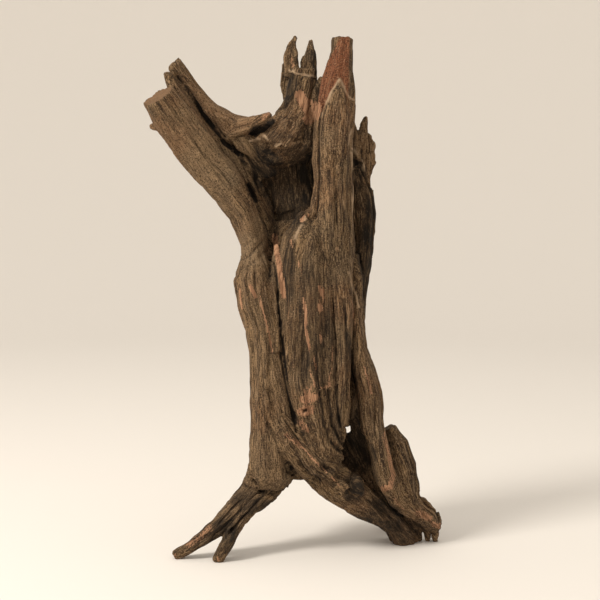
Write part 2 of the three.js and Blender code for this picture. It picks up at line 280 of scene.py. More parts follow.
# Deep cracks on the front: lines of (x, z) points
TRUNK_CRACK = [(-19, 232), (-17, 218), (-16, 203), (-14, 179), (-12, 156), (-8, 133), (-3, 113),
               (0, 101)]
BRANCH_CRACK = [(-96, 378), (-88, 367), (-76, 348), (-66, 335), (-58, 324), (-50, 318), (-41, 313),
                (-35, 305)]
BRANCH_SLOT = [(-39, 292), (-37, 286), (-34, 280)]
HORN_GAP = [(-21, 342), (-28, 336), (-36, 333)]
RIGHT_CRACK = [(36, 203), (38, 176), (39, 124), (34, 94)]
GAP_ABOVE_FOOT = [(39, 175), (41, 160), (43, 148), (44, 136)]
LOWER_GROOVES = [
    [(17, 132), (19, 120), (20, 108), (25, 94), (33, 84)],
    [(24, 134), (25, 118), (27, 106), (32, 94), (37, 86)],
    [(30, 136), (31, 121), (33, 107), (36, 98)],
]
FOOT_CRACK = [(-24, 52), (-35, 43), (-45, 34), (-54, 25)]
LOBE_EDGE = [(-43, 57), (-34, 53), (-24, 51), (-13, 52), (-6, 56)]

# Creases on the front: lines of (x, z) points, with a half width and a depth
CREASES = [
    (TRUNK_CRACK, 0.9, 3.0),
    (BRANCH_CRACK, 1.4, 3.5),
    ([(-35, 305), (-31, 294), (-29, 280)], 1.2, 2.5),
    (BRANCH_SLOT, 1.7, 4.5),
    (HORN_GAP, 2.0, 4.0),
    ([(-49, 243), (-40, 247), (-31, 254), (-27, 264)], 1.0, 0.9),
    ([(-46, 235), (-37, 240), (-27, 249), (-22, 260)], 1.2, 1.4),
    ([(-43, 228), (-33, 234), (-23, 243), (-18, 252)], 1.0, 0.9),
    ([(-13, 346), (-19, 337), (-24, 328)], 1.3, 1.3),
    ([(-5, 340), (-8, 332), (-13, 322)], 1.4, 0.9),
    ([(4, 336), (5, 330), (1, 319)], 1.6, 1.2),
    ([(12, 336), (12, 328), (8, 316)], 1.4, 1.2),
    ([(-28, 334), (-18, 331), (-6, 326), (4, 328)], 1.2, 1.4),
    (RIGHT_CRACK, 1.2, 2.4),
    *[(groove, 1.4, 3.4) for groove in LOWER_GROOVES],
    ([(-28, 138), (-25, 122), (-23, 106)], 0.9, 1.6),
    ([(-35, 190), (-30, 160), (-28, 138)], 0.8, 0.8),
    ([(29, 340), (31, 320), (29, 300), (31, 262)], 0.9, 1.0),
    ([(-78, 325), (-66, 306), (-52, 288)], 0.9, 1.0),
    ([(-40, 75), (-26, 70), (-12, 71)], 1.0, 0.7),
    ([(27, 205), (29, 180), (30, 150), (29, 125)], 1.0, 1.6),
    (FOOT_CRACK, 1.3, 3.5),
    ([(-35, 51), (-50, 40), (-60, 28)], 0.9, 1.0),
    (LOBE_EDGE, 1.3, 2.2),
]

# Knots on the front: place (x, z), radius, height of the swelling and depth of the hole in it
KNOTS = [
    ((4, 118), 6.0, 0.6, 3.4),
    ((70, 56), 6.5, 2.2, 0.0),
    ((33, 54), 7.5, 3.0, 0.6),
    ((45, 56), 6.5, 2.6, 1.6),
    ((22, 66), 7.0, 2.2, 1.2),
    ((30, 78), 6.0, 1.8, 1.0),
    ((40, 68), 5.0, 1.8, 1.2),
    ((88, 62), 6.0, 1.8, 1.2),
]

# Painted shade in hollows, gaps, undersides and on sides turned from the key light, and darker stained
# wood: centre (x, y, z), radii and strength
SHADE_AND_STAIN_PLACES = [
    ((-8, 4, 288), (36, 26, 46), 0.8),
    ((11, -4, 302), (11, 26, 38), 1.2),
    ((-28, -18, 336), (10, 10, 7), 1.3),
    ((-6, -20, 317), (24, 18, 10), 0.8),
    ((-25, -15, 304), (17, 20, 28), 1.1),
    ((-20, -26, 326), (14, 12, 9), 0.6),
    ((-4, -24, 332), (22, 14, 15), 0.3),
    ((-2, -36, 262), (14, 20, 18), 0.9),
    ((46, -4, 300), (8, 22, 22), 0.95),
    ((57, -6, 236), (13, 28, 84), 1.05),
    ((50, 0, 80), (22, 24, 36), 0.95),
    ((44, -12, 150), (5, 14, 44), 0.7),
    ((11, -2, 394), (8, 12, 17), 1.0),
    ((18, -10, 366), (4, 14, 18), 0.9),
    ((-9, -6, 364), (7, 16, 24), 1.1),
    ((44, -24, 388), (5, 16, 24), 0.65),
    ((26, -22, 402), (4, 14, 14), 0.7),
    ((92, 2, 14), (36, 26, 18), 0.4),
    ((91, -6, 62), (14, 20, 36), 0.7),
    ((6, -54, 184), (16, 18, 54), 0.6),
    ((18, -52, 172), (13, 18, 42), 0.6),
    ((-9, -47, 226), (7, 14, 36), 0.9),
    ((34, -46, 150), (8, 14, 60), 0.2),
    ((62, -12, 26), (40, 26, 22), 0.95),
    ((-74, -50, 15), (32, 14, 18), 0.6),
    ((84, 0, 8), (24, 24, 14), 0.7),
    ((-30, -46, 45), (24, 18, 9), 0.8),
    ((-53, -59, 22), (17, 14, 20), 0.9),
    ((24, -52, 70), (18, 14, 14), 0.35),
    ((32, -50, 108), (9, 12, 13), 0.6),
    ((44, -41, 54), (14, 14, 15), 1.0),
    ((60, -39, 74), (7, 10, 14), 0.9),
    ((39, -40, 285), (8, 20, 40), 0.25),
]

# Painted shade along cracks and gaps on the front: lines of (x, z) points, with a half width and a
# strength
PAINTED_SHADE_LINES = [
    (TRUNK_CRACK, 0.7, 0.8),
    (BRANCH_CRACK, 0.9, 1.1),
    (BRANCH_SLOT, 1.9, 1.4),
    (HORN_GAP, 2.4, 1.4),
    (RIGHT_CRACK, 0.9, 0.8),
    (GAP_ABOVE_FOOT, 2.2, 0.9),
    *[(groove, 1.0, 0.9) for groove in LOWER_GROOVES],
    (FOOT_CRACK, 1.0, 1.2),
    (LOBE_EDGE, 1.0, 0.6),
]

# Painted light: paler, calmer patches where the light falls: centre (x, y, z), radii and share
PAINTED_LIGHT_PLACES = [
    ((-78, -36, 316), (60, 40, 70), 1.45),
    ((-32, -40, 200), (26, 30, 80), 0.6),
    ((-34, -36, 250), (24, 28, 34), 1.9),
    ((-16, -44, 125), (18, 22, 44), 0.6),
    ((-24, -46, 70), (30, 30, 40), 0.8),
    ((-68, -20, 344), (44, 28, 36), 1.6),
    ((50, -6, 330), (14, 22, 26), 0.6),
    ((100, -8, 26), (26, 22, 18), 0.5),
]

# Lumpy places: centre (x, y, z), radii and height of the lumps
LUMPY_PLACES = [
    ((16, -46, 78), (34, 26, 32), 3.2),
    ((84, -10, 45), (34, 28, 40), 2.2),
    ((-12, -22, 323), (26, 20, 14), 2.2),
    ((54, -6, 325), (22, 24, 30), 2.0),
    ((-38, -40, 60), (34, 26, 26), 1.6),
]

# Places where the strands flow into each other: centre (x, y, z), radii and share
BLENDED_PLACES = [
    ((-33, -28, 243), (26, 30, 22), 1.0),
    ((27, -44, 230), (30, 20, 40), 1.0),
    ((-8, -22, 332), (32, 24, 18), 0.6),
    ((-13, -40, 146), (18, 18, 46), 1.0),
    ((72, -24, 48), (24, 24, 24), 0.7),
    ((24, -46, 78), (30, 22, 26), 0.4),
    ((10, 18, 264), (44, 26, 26), 1.0),
]

# Crumbled places: centre (x, y, z), radii and height of the crumbs
CRUMBLED_PLACES = [
    ((26, -46, 70), (30, 24, 24), 1.9),
    ((90, -8, 30), (34, 30, 32), 1.2),
    ((-12, -22, 322), (28, 20, 13), 0.8),
    ((54, -6, 325), (22, 24, 26), 1.5),
    ((6, -54, 118), (16, 16, 16), 0.9),
    ((-14, -14, 256), (18, 18, 14), 1.2),
    ((2, -6, 396), (18, 16, 16), 0.8),
]

# Where slivers stick out: centre (x, y, z), radius, count, and which way along the grain (1 is down)
SPLINTER_PLACES = [
    ((-90, -28, 376), 10, 6, -1),
    ((56, -4, 316), 10, 4, -1),
    ((-9, 3, 376), 12, 8, -1),
    ((-8, -24, 318), 18, 10, 1),
    ((2, -44, 262), 12, 8, -1),
    ((56, -8, 222), 16, 8, 1),
    ((104, 6, 8), 18, 8, 1),
    ((44, -36, 268), 10, 6, -1),
]

# Noise of the material along the grain: features per metre (across, out, along), detail and roughness
GRAIN_NOISES = {
    "streaks": ((220.0, 220.0, 7.0), 3.0, 0.55),
    "lines": ((640.0, 640.0, 20.0), 3.0, 0.6),
    "fibres": ((1500.0, 1500.0, 60.0), 2.0, 0.6),
    "flecks": ((330.0, 330.0, 70.0), 2.0, 0.55),
    "grit": ((850.0, 850.0, 75.0), 4.0, 0.72),
    "mould": ((300.0, 300.0, 55.0), 4.0, 0.7),
}

# Noise of the material that is the same in all directions: features per metre, detail and roughness
EVEN_NOISES = {
    "warmth": (17.0, 2.0, 0.55),
    "blotches": (30.0, 4.0, 0.55),
    "speckle": (1000.0, 2.0, 0.55),
}

# Colours of the wood, and the largest share of those that cover a place
DARK_BROWN = (0.112, 0.0645, 0.03)
LIGHT_BROWN = (0.25, 0.1535, 0.074)
# Painted light: the paler brown where the light falls, and its largest share
PAINTED_LIGHT_BROWN = (0.28, 0.19, 0.11)
PAINTED_LIGHT_SHARE = 0.35
# Wear and painted highlight on small ridges, and its largest share
WORN_HIGHLIGHT_BROWN = (0.25, 0.158, 0.082)
WORN_HIGHLIGHT_SHARE = 0.45
HEART_RED = (0.205, 0.072, 0.032)
SAWN_BROWN = (0.235, 0.13, 0.064)
SAWN_SHARE = 0.62
# Exposed orange wood and painted highlights, their darker streaks, and their largest share
BARE_AND_HIGHLIGHT_ORANGE = (0.46, 0.25, 0.14)
BARE_AND_HIGHLIGHT_BROWN = (0.2, 0.098, 0.052)
BARE_AND_HIGHLIGHT_SHARE = 0.9
EDGE_CREAM = (0.4, 0.28, 0.175)
CRACK_BLACK = (0.02, 0.012, 0.007)
# Painted shade and darker stains in hollows, cracks and undersides
SHADE_AND_STAIN_BLACK = (0.016, 0.011, 0.007)
# Painted shade at the bottom of hollows
HOLLOW_SHADE_BLACK = (0.012, 0.008, 0.005)

# Where a noise or a stored share starts to show, and where it shows in full
STREAKS_SHOW = (0.36, 0.64)
ROUGHNESS_SHOWS = (0.6, 0.42)
MOULD_SHOWS = (0.36, 0.62)
BARE_AND_HIGHLIGHT_SHOWS = (1.52, 1.68)
BARE_AND_HIGHLIGHT_FADES_IN = (0.05, 0.3)
BARE_AND_HIGHLIGHT_DARKENS = (0.58, 0.38)
HOLLOW_SHADE_SHOWS = (0.0, 0.95)

# Least shares of grit and of the painted shade and stains, and what the noises add to them
ROUGH_LEAST = 0.35
ROUGH_MORE = 0.65
MOULD_LEAST = 0.45
MOULD_MORE = 0.6

# How much of the fibres and grit the red heart loses
HEART_CALM = 0.6

# How strongly grit and speckle break up the bare streaks and painted highlights
BARE_AND_HIGHLIGHT_GRIT = 1.3
BARE_AND_HIGHLIGHT_SPECKLE = 0.9

# Shares of the noises in the bump, its strength and height in metres, and the gloss of the wood
BUMP_SHARES = {"lines": 0.8, "fibres": 0.4, "speckle": 0.3, "grit": 1.0}
BUMP_STRENGTH = 0.9
BUMP_HEIGHT = 0.0015
WOOD_ROUGHNESS = 0.82
WOOD_SPECULAR = 0.2


class Layer(NamedTuple):
    """A colour that covers the wood up to a share, as a noise goes from a start to full."""

    noise: str
    start: float
    full: float
    share: float
    colour: tuple


WARM_PATCHES = Layer("warmth", 0.48, 0.64, 0.4, (0.25, 0.12, 0.055))
GREY_PATCHES = Layer("blotches", 0.46, 0.66, 0.5, (0.128, 0.094, 0.056))
RUSTY_FLECKS = Layer("flecks", 0.68, 0.73, 0.6, (0.27, 0.14, 0.075))
FIBRE_LAYERS = [
    Layer("lines", 0.5, 0.34, 0.72, CRACK_BLACK),
    Layer("fibres", 0.52, 0.37, 0.78, CRACK_BLACK),
    Layer("fibres", 0.53, 0.66, 0.5, (0.38, 0.254, 0.144)),
]
DARK_SPECKS = Layer("speckle", 0.48, 0.36, 0.78, CRACK_BLACK)
GRIT_LAYERS = [
    Layer("grit", 0.52, 0.35, 0.85, CRACK_BLACK),
    Layer("grit", 0.54, 0.68, 0.65, (0.4, 0.268, 0.152)),
]
LIGHT_SPECKS = Layer("speckle", 0.6, 0.7, 0.6, (0.38, 0.256, 0.146))
DUST = Layer("speckle", 0.73, 0.78, 0.7, (0.48, 0.38, 0.28))


def hashed(cells, seed):
    """A repeatable number from -1 to 1 for each row of whole numbers."""
    mixed = cells[:, 0] * HASH_X + cells[:, 1] * HASH_Y + cells[:, 2] * HASH_Z + seed * HASH_SEED
    mixed = (mixed ^ (mixed >> 13)) * HASH_MIX
    mixed = mixed ^ (mixed >> 16)
    return (mixed & 0xFFFF) / 32767.5 - 1


def noise(points, seed):
    """Smooth noise from -1 to 1, with features about one unit across."""
    cells = np.floor(points).astype(np.int64)
    share = points - cells
    ease = share**3 * (share * (share * 6 - 15) + 10)
    total = np.zeros(len(points))
    for corner in itertools.product((0, 1), repeat=3):
        weight = np.prod(np.where(corner, ease, 1 - ease), axis=1)
        total += weight * hashed(cells + corner, seed)
    return total


def smoothstep(low, high, values):
    """0 up to low and 1 from high, with an even slope between them."""
    share = np.clip((values - low) / (high - low), 0, 1)
    return share * share * (3 - 2 * share)


class Pattern(NamedTuple):
    """Noise with features of a size: one number, or (across, out, along the grain)."""

    size: float | tuple
    seed: int

    def at(self, points):
        return noise(points / np.array(self.size), self.seed)


# Patterns of the weathered surface, each with a seed of its own
SWAY = [Pattern((34.0, 34.0, 80.0), seed) for seed in (11, 12, 13)]
FURROWS = Pattern((3.8, 3.8, 80.0), 14)
FINE_FURROWS = Pattern((2.0, 2.0, 30.0), 15)
CRACKS = Pattern((15.0, 15.0, 170.0), 16)
CRACKED_PARTS = Pattern((14.0, 14.0, 60.0), 17)
PLATES = Pattern((9.0, 9.0, 60.0), 18)
LUMPS = Pattern(26.0, 19)
SMALL_LUMPS = Pattern(10.0, 20)
SCALES = Pattern((5.0, 5.0, 28.0), 21)
CRUMBS = Pattern(6.5, 23)
SMALL_CRUMBS = Pattern(3.2, 24)
UNEVEN_KNOTS = Pattern(3.5, 25)
FURROWED_PARTS = Pattern((20.0, 20.0, 60.0), 26)
DEEP_CREASES = Pattern(9.0, 27)
SWELLS = Pattern((11.0, 11.0, 130.0), 28)
ROUND_LUMPS = Pattern(12.0, 29)
PALE_BREAKS = Pattern(5.0, 53)
PALE_WANDER = [Pattern(7.0, seed) for seed in (54, 55, 56)]


def side_by_side(patterns, points):
    """The patterns at each point, as the columns of one array."""
    return np.stack([pattern.at(points) for pattern in patterns], axis=1)


class Grain:
    """Sampled guide lines, and the grain coordinates of points near them."""

    def __init__(self, guides):
        samples = [self.sampled(line) for line in guides.values()]
        self.centres = np.concatenate([centres for centres, _, _, _ in samples])
        self.radii = np.concatenate([radii for _, radii, _, _ in samples])
        self.tangents = np.concatenate([tangents for _, _, tangents, _ in samples])
        lengths = [own + STRAND_SPACING * number for number, (_, _, _, own) in enumerate(samples)]
        self.lengths = np.concatenate(lengths)
        self.sideways = np.cross(self.tangents, (0.0, 1.0, 0.0))
        self.sideways /= np.linalg.norm(self.sideways, axis=1, keepdims=True)
        self.outwards = np.cross(self.sideways, self.tangents)

    @staticmethod
    def sampled(line):
        """Centres, radii, tangents and lengths along one guide line, about GUIDE_STEP apart."""
        stations = np.array(line, float)
        run = np.concatenate([[0], np.cumsum(np.linalg.norm(np.diff(stations[:, :3], axis=0), axis=1))])
        lengths = np.linspace(0, run[-1], int(run[-1] / GUIDE_STEP) + 2)
        columns = [np.interp(lengths, run, stations[:, axis]) for axis in range(4)]
        centres = np.stack(columns[:3], axis=1)
        tangents = np.gradient(centres, axis=0)
        tangents /= np.linalg.norm(tangents, axis=1, keepdims=True)
        return centres, columns[3], tangents, lengths

    def nearest(self, points):
        """Index of the guide sample whose strand each point belongs to."""
        found = []
        for part in np.array_split(points, len(points) // POINTS_AT_A_TIME + 1):
            gaps = np.linalg.norm(part[:, None, :] - self.centres[None, :, :], axis=2)
            found.append(np.argmin(gaps - self.radii[None, :], axis=1))
        return np.concatenate(found)

    def coordinates(self, points):
        """Rows of (across, outwards, along the grain) in millimetres."""
        sample = self.nearest(points)
        offset = points - self.centres[sample]
        across = np.sum(offset * self.sideways[sample], axis=1)
        out = np.sum(offset * self.outwards[sample], axis=1)
        along = self.lengths[sample] + np.sum(offset * self.tangents[sample], axis=1)
        return np.stack([across, out, along], axis=1)


class Surface:
    """Vertices, edges and normals of a mesh as arrays, in millimetres."""

    def __init__(self, mesh):
        count = len(mesh.vertices)
        flat = np.empty(count * 3, np.float32)
        mesh.vertices.foreach_get("co", flat)
        self.points = flat.reshape(-1, 3).astype(float) / MM
        pairs = np.empty(len(mesh.edges) * 2, np.int32)
        mesh.edges.foreach_get("vertices", pairs)
        self.edges = pairs.reshape(-1, 2)
        self.mesh = mesh

    def smoothed(self, rounds, pulls=EVEN_PULLS):
        """Points after rounds of pulling each one towards the mean of its neighbours."""
        points = self.points.copy()
        first, second = self.edges.T
        count = len(points)
        degree = np.bincount(first, minlength=count) + np.bincount(second, minlength=count)
        for turn in range(rounds):
            mean = np.empty_like(points)
            for axis in range(3):
                total = np.bincount(first, weights=points[second, axis], minlength=count)
                total += np.bincount(second, weights=points[first, axis], minlength=count)
                mean[:, axis] = total / np.maximum(degree, 1)
            points += pulls[turn % len(pulls)] * (mean - points)
        return points

    def move_to(self, points):
        self.points = points
        self.mesh.vertices.foreach_set("co", (points * MM).astype(np.float32).ravel())
        self.mesh.update()

    def normals(self):
        flat = np.empty(len(self.points) * 3, np.float32)
        self.mesh.vertex_normals.foreach_get("vector", flat)
        return flat.reshape(-1, 3).astype(float)


def applied(piece):
    """The piece's mesh with its modifiers applied."""
    graph = bpy.context.evaluated_depsgraph_get()
    mesh = bpy.data.meshes.new_from_object(piece.evaluated_get(graph))
    piece.modifiers.clear()
    return mesh


def add_object(name, data):
    piece = bpy.data.objects.new(name, data)
    bpy.context.scene.collection.objects.link(piece)
    return piece


def remeshed_copy(node, name):
    """A new piece with the node's shape, cut into small even faces."""
    piece = add_object(name, node.data.copy())
    remesh = piece.modifiers.new("remesh", "REMESH")
    remesh.mode = "VOXEL"
    remesh.voxel_size = VOXEL * MM
    piece.data = applied(piece)
    return piece


def near_line(points, line, half_width):
    """1 on a line of (x, z) points, falling to 0 past its half width."""
    flat = points[:, [0, 2]]
    nearest = np.full(len(points), np.inf)
    for start, end in itertools.pairwise(np.array(line, float)):
        run = end - start
        share = np.clip((flat - start) @ run / (run @ run), 0, 1)
        nearest = np.minimum(nearest, np.linalg.norm(flat - start - share[:, None] * run, axis=1))
    inner, outer = LINE_FADE
    return 1 - smoothstep(inner * half_width, outer * half_width, nearest)


def near_place(points, centre, radii):
    """1 at the centre of an ellipsoid, falling to 0 at its surface."""
    gaps = np.linalg.norm((points - centre) / np.array(radii, float), axis=1)
    return 1 - smoothstep(*PLACE_FADE, gaps)


def facing_front(normals):
    """1 where the surface faces the viewer of the photo, falling to 0 where it turns to the back."""
    return smoothstep(*FRONT_FADE, -normals[:, 1])


def strongest(points, places):
    """The largest share that any of the (centre, radii, strength) places has at each point."""
    shares = [strength * near_place(points, centre, radii) for centre, radii, strength in places]
    return np.max(shares, axis=0)


def drawn(points, lines):
    """The largest share that any of the (line, half width, strength) lines has at each point."""
    shares = [strength * near_line(points, line, half_width) for line, half_width, strength in lines]
    return np.max(shares, axis=0)


def pale_edges(points, normals):
    """Thin pale lines along the broken edges of the outer wood."""
    wander = side_by_side(PALE_WANDER, points)
    broken = smoothstep(*PALE_STEP, PALE_BREAKS.at(points))
    lines = [(line, PALE_HALF_WIDTH, 1.0) for line in PALE_EDGES]
    return drawn(points + PALE_SWAY * wander, lines) * facing_front(normals) * broken


def red_heart(points):
    """The bare red top of the spire, between its dark edges and above the tongue of grey wood."""
    x, y, z = points.T
    tongue = TONGUE_TOP - TONGUE_SLOPE * np.abs(x - TONGUE_X)
    left = np.maximum(HEART_LEFT_BELOW, HEART_LEFT_AT_TOP - HEART_LEFT_SLOPE * (HEART_TOP - z))
    past_left = smoothstep(left - HEART_EDGE, left + HEART_EDGE, x)
    past_right = smoothstep(HEART_RIGHT - HEART_EDGE, HEART_RIGHT + HEART_EDGE, x)
    face = past_left * (1 - past_right)
    front = 1 - smoothstep(*HEART_DEPTHS, y)
    above_tongue = smoothstep(tongue - TONGUE_EDGE, tongue + TONGUE_EDGE, z)
    return face * front * smoothstep(*HEART_HEIGHTS, z) * above_tongue


def sawn_face(points, normals):
    """Share of each point in the saw cut at the end of the side branch, and its height over the cut."""
    height = (points - SAWN_CENTRE) @ SAWN_AXIS
    near = 1 - smoothstep(*SAWN_RADII, np.linalg.norm(points - SAWN_CENTRE, axis=1))
    return near * smoothstep(*SAWN_FACING, normals @ SAWN_AXIS), height


def knot_lift(points, normals):
    """Swellings with uneven growth rings, and the holes in some of them."""
    lift = np.zeros(len(points))
    uneven = KNOT_UNEVENNESS * UNEVEN_KNOTS.at(points)
    for place, radius, height, depth in KNOTS:
        gap = np.linalg.norm(points[:, [0, 2]] - place, axis=1) + uneven
        swelling = 1 - smoothstep(KNOT_CORE * radius, radius, gap)
        rings = KNOT_RING_HEIGHT * np.sin(2 * np.pi * gap / KNOT_RING_SPACING) * (gap < radius)
        hole = 1 - smoothstep(KNOT_HOLE_FLOOR * radius, KNOT_HOLE_RIM * radius, gap)
        lift += height * swelling + rings - depth * hole
    return lift * facing_front(normals)


def valleys(pattern, width, coords):
    """1 along thin lines that wander along the grain, falling to 0 beside them."""
    return np.exp(-((pattern.at(coords) / width) ** 2))


def grain_lift(points, coords):
    """Height of the surface from its lumps, plates, furrows and cracks."""
    plates = smoothstep(*PLATE_STEP, PLATES.at(coords))
    scales = smoothstep(*SCALE_STEP, SCALES.at(coords))
    furrowed = FURROW_LEAST + FURROW_MORE * smoothstep(*FURROW_STEP, FURROWED_PARTS.at(coords))
    cracked = smoothstep(*CRACK_STEP, CRACKED_PARTS.at(coords))
    lift = LUMP_HEIGHT * LUMPS.at(points) + SMALL_LUMP_HEIGHT * SMALL_LUMPS.at(points)
    lift += SWELL_HEIGHT * SWELLS.at(coords)
    lift += PLATE_HEIGHT * plates + SCALE_HEIGHT * scales
    lift -= FURROW_DEPTH * furrowed * valleys(FURROWS, FURROW_WIDTH, coords)
    lift -= FINE_FURROW_DEPTH * furrowed * valleys(FINE_FURROWS, FINE_FURROW_WIDTH, coords)
    lift -= CRACK_DEPTH * cracked * valleys(CRACKS, CRACK_WIDTH, coords)
    return lift


def crease_depth(points, normals, sway):
    """Depth of the creases on the front, which come and go along their lines."""
    strength = CREASE_LEAST + CREASE_MORE * smoothstep(*CREASE_STEP, DEEP_CREASES.at(points))
    return drawn(points + LINE_SWAY * sway, CREASES) * facing_front(normals) * strength


def weathered_lift(points, normals, coords, sway):
    """Height of the weathered surface over the smooth one."""
    crumbs = CRUMBS.at(points) + SMALL_CRUMB_SHARE * SMALL_CRUMBS.at(points)
    lift = grain_lift(points, coords) + knot_lift(points, normals)
    lift += strongest(points, CRUMBLED_PLACES) * crumbs
    lift += strongest(points, LUMPY_PLACES) * ROUND_LUMPS.at(points)
    lift -= crease_depth(points, normals, sway)
    lift += PALE_HEIGHT * pale_edges(points, normals)
    return lift


def carve(piece, grain):
    """Carves the weathered surface into a piece, and stores what its material needs."""
    surface = Surface(piece.data)
    surface.move_to(surface.smoothed(SHAPE_ROUNDS, SHAPE_PULLS))
    blend = strongest(surface.points, BLENDED_PLACES)[:, None]
    surface.move_to(surface.points + blend * (surface.smoothed(BLEND_ROUNDS) - surface.points))
    points = surface.points
    normals = surface.normals()
    coords = grain.coordinates(points)
    sway = side_by_side(SWAY, coords)
    coords = coords + sway * GRAIN_SWAY

    sawn, height = sawn_face(points, normals)
    lift = weathered_lift(points, normals, coords, sway)
    points = points + (lift * (1 - sawn))[:, None] * normals - (height * sawn)[:, None] * SAWN_AXIS
    points[:, 2] = np.maximum(points[:, 2], FLOOR_GAP)
    surface.move_to(points)
    store_looks(surface, coords, sway, sawn)


def store_looks(surface, coords, sway, sawn):
    """Stores the grain coordinates, and the share of each look at each point."""
    points = surface.points
    normals = surface.normals()
    small_hollow = np.sum((surface.smoothed(SMALL_HOLLOW_ROUNDS) - points) * normals, axis=1)
    large_hollow = np.sum((surface.smoothed(LARGE_HOLLOW_ROUNDS) - points) * normals, axis=1)
    # Painted shade: the deeper a point sits in a small and a large hollow, the darker it is painted
    hollow_shade = SMALL_HOLLOW_SHADE_SHARE * smoothstep(*SMALL_HOLLOW_SHADE_DEPTHS, small_hollow)
    hollow_shade += LARGE_HOLLOW_SHADE_SHARE * smoothstep(*LARGE_HOLLOW_SHADE_DEPTHS, large_hollow)
    # The dark look: painted shade along cracks and gaps, and painted shade with darker stains in places
    painted_shade_lines = drawn(points + LINE_SWAY * sway, PAINTED_SHADE_LINES) * facing_front(normals)
    shade_and_stain_places = strongest(points + SHADE_AND_STAIN_SWAY * sway, SHADE_AND_STAIN_PLACES)
    looks = {
        # Painted shade in the hollows
        "hollow_shade": hollow_shade,
        # Wear and a painted highlight: small ridges painted lighter
        "worn_and_highlit": smoothstep(*WORN_HIGHLIGHT_HEIGHTS, -small_hollow),
        # Exposed orange wood, and painted highlights on lit ridges
        "bare_and_highlight": drawn(points, BARE_AND_HIGHLIGHT_STREAKS) * facing_front(normals),
        "pale": pale_edges(points, normals),
        "heart": red_heart(points + HEART_SWAY * sway),
        "sawn": sawn,
        # Painted shade and darker stains
        "dark": np.maximum(painted_shade_lines, shade_and_stain_places),
        # Painted light: paler patches where the light falls
        "painted_light": strongest(points + PAINTED_LIGHT_SWAY * sway, PAINTED_LIGHT_PLACES),
    }
    store(surface.mesh, "grain", coords * MM, "FLOAT_VECTOR")
    for name, shares in looks.items():
        store(surface.mesh, name, shares)


def store(mesh, name, values, kind="FLOAT"):
    """Keeps one value for each vertex under a name that the material reads."""
    attribute = mesh.attributes.new(name, kind, "POINT")
    field = "vector" if kind == "FLOAT_VECTOR" else "value"
    attribute.data.foreach_set(field, np.asarray(values, np.float32).ravel())


def thinned(piece):
    """Keeps the piece within its triangle budget, with most triangles left where the surface bends."""
    triangles = sum(len(face.vertices) - 2 for face in piece.data.polygons)
    decimate = piece.modifiers.new("thin", "DECIMATE")
    decimate.ratio = min(1.0, TRIANGLES / triangles)
    piece.data = applied(piece)
    piece.data.shade_smooth()


def sliver(root, direction, sag, length, width):
    """Rings of points for a thin tapering splinter, and its tip."""
    side = np.cross(direction, SLIVER_SIDE_HINT)
    side /= np.linalg.norm(side)
    other = np.cross(direction, side)
    points = []
    for ring in range(SLIVER_RINGS):
        share = ring / SLIVER_RINGS
        middle = root + direction * length * share + sag * share**2
        for corner in range(SLIVER_SIDES):
            angle = 2 * math.pi * corner / SLIVER_SIDES
            spread = width * (1 - SLIVER_TAPER * share)
            offset = math.cos(angle) * side + SLIVER_FLATNESS * math.sin(angle) * other
            points.append(middle + spread * offset)
    points.append(root + direction * length + sag)
    return points


def sliver_faces(first):
    """Faces of a closed sliver whose points start at an index."""
    faces = [[first + corner for corner in reversed(range(SLIVER_SIDES))]]
    for ring in range(SLIVER_RINGS):
        for corner in range(SLIVER_SIDES):
            low = first + ring * SLIVER_SIDES
            high = low + SLIVER_SIDES
            after = (corner + 1) % SLIVER_SIDES
            if ring < SLIVER_RINGS - 1:
                faces.append([low + corner, low + after, high + after, high + corner])
            else:
                faces.append([low + corner, low + after, high])
    return faces


def splinters(wood, grain):
    """Slivers standing off the broken ends, with their roots sunk in the wood."""
    random = np.random.default_rng(SLIVER_SEED)
    surface = Surface(wood.data)
    normals = surface.normals()
    points = []
    faces = []
    for centre, radius, count, way in SPLINTER_PLACES:
        near = np.flatnonzero(np.linalg.norm(surface.points - centre, axis=1) < radius)
        for vertex in random.choice(near, count):
            start = surface.points[vertex]
            normal = normals[vertex]
            tangent = way * grain.tangents[grain.nearest(start[None])[0]]
            direction = tangent + random.uniform(*SLIVER_TILT) * normal
            direction /= np.linalg.norm(direction)
            sag = random.normal(0, SLIVER_SAG, 3)
            length = random.uniform(*SLIVER_LENGTH)
            width = random.uniform(*SLIVER_WIDTH)
            faces += sliver_faces(len(points))
            points += sliver(start - SLIVER_ROOT * normal, direction, sag, length, width)
    points = np.array(points)
    points[:, 2] = np.maximum(points[:, 2], FLOOR_GAP)
    mesh = bpy.data.meshes.new("splinters")
    mesh.from_pydata((points * MM).tolist(), [], faces)
    store(mesh, "grain", grain.coordinates(points) * MM, "FLOAT_VECTOR")
    # Every sliver gets some of the wear and painted highlight of ridges
    store(mesh, "worn_and_highlit", np.full(len(points), SLIVER_WORN_HIGHLIGHT))
    # Painted shade and stains of the places where the slivers stand
    store(mesh, "dark", strongest(points, SHADE_AND_STAIN_PLACES))
    return add_object("splinters", mesh)


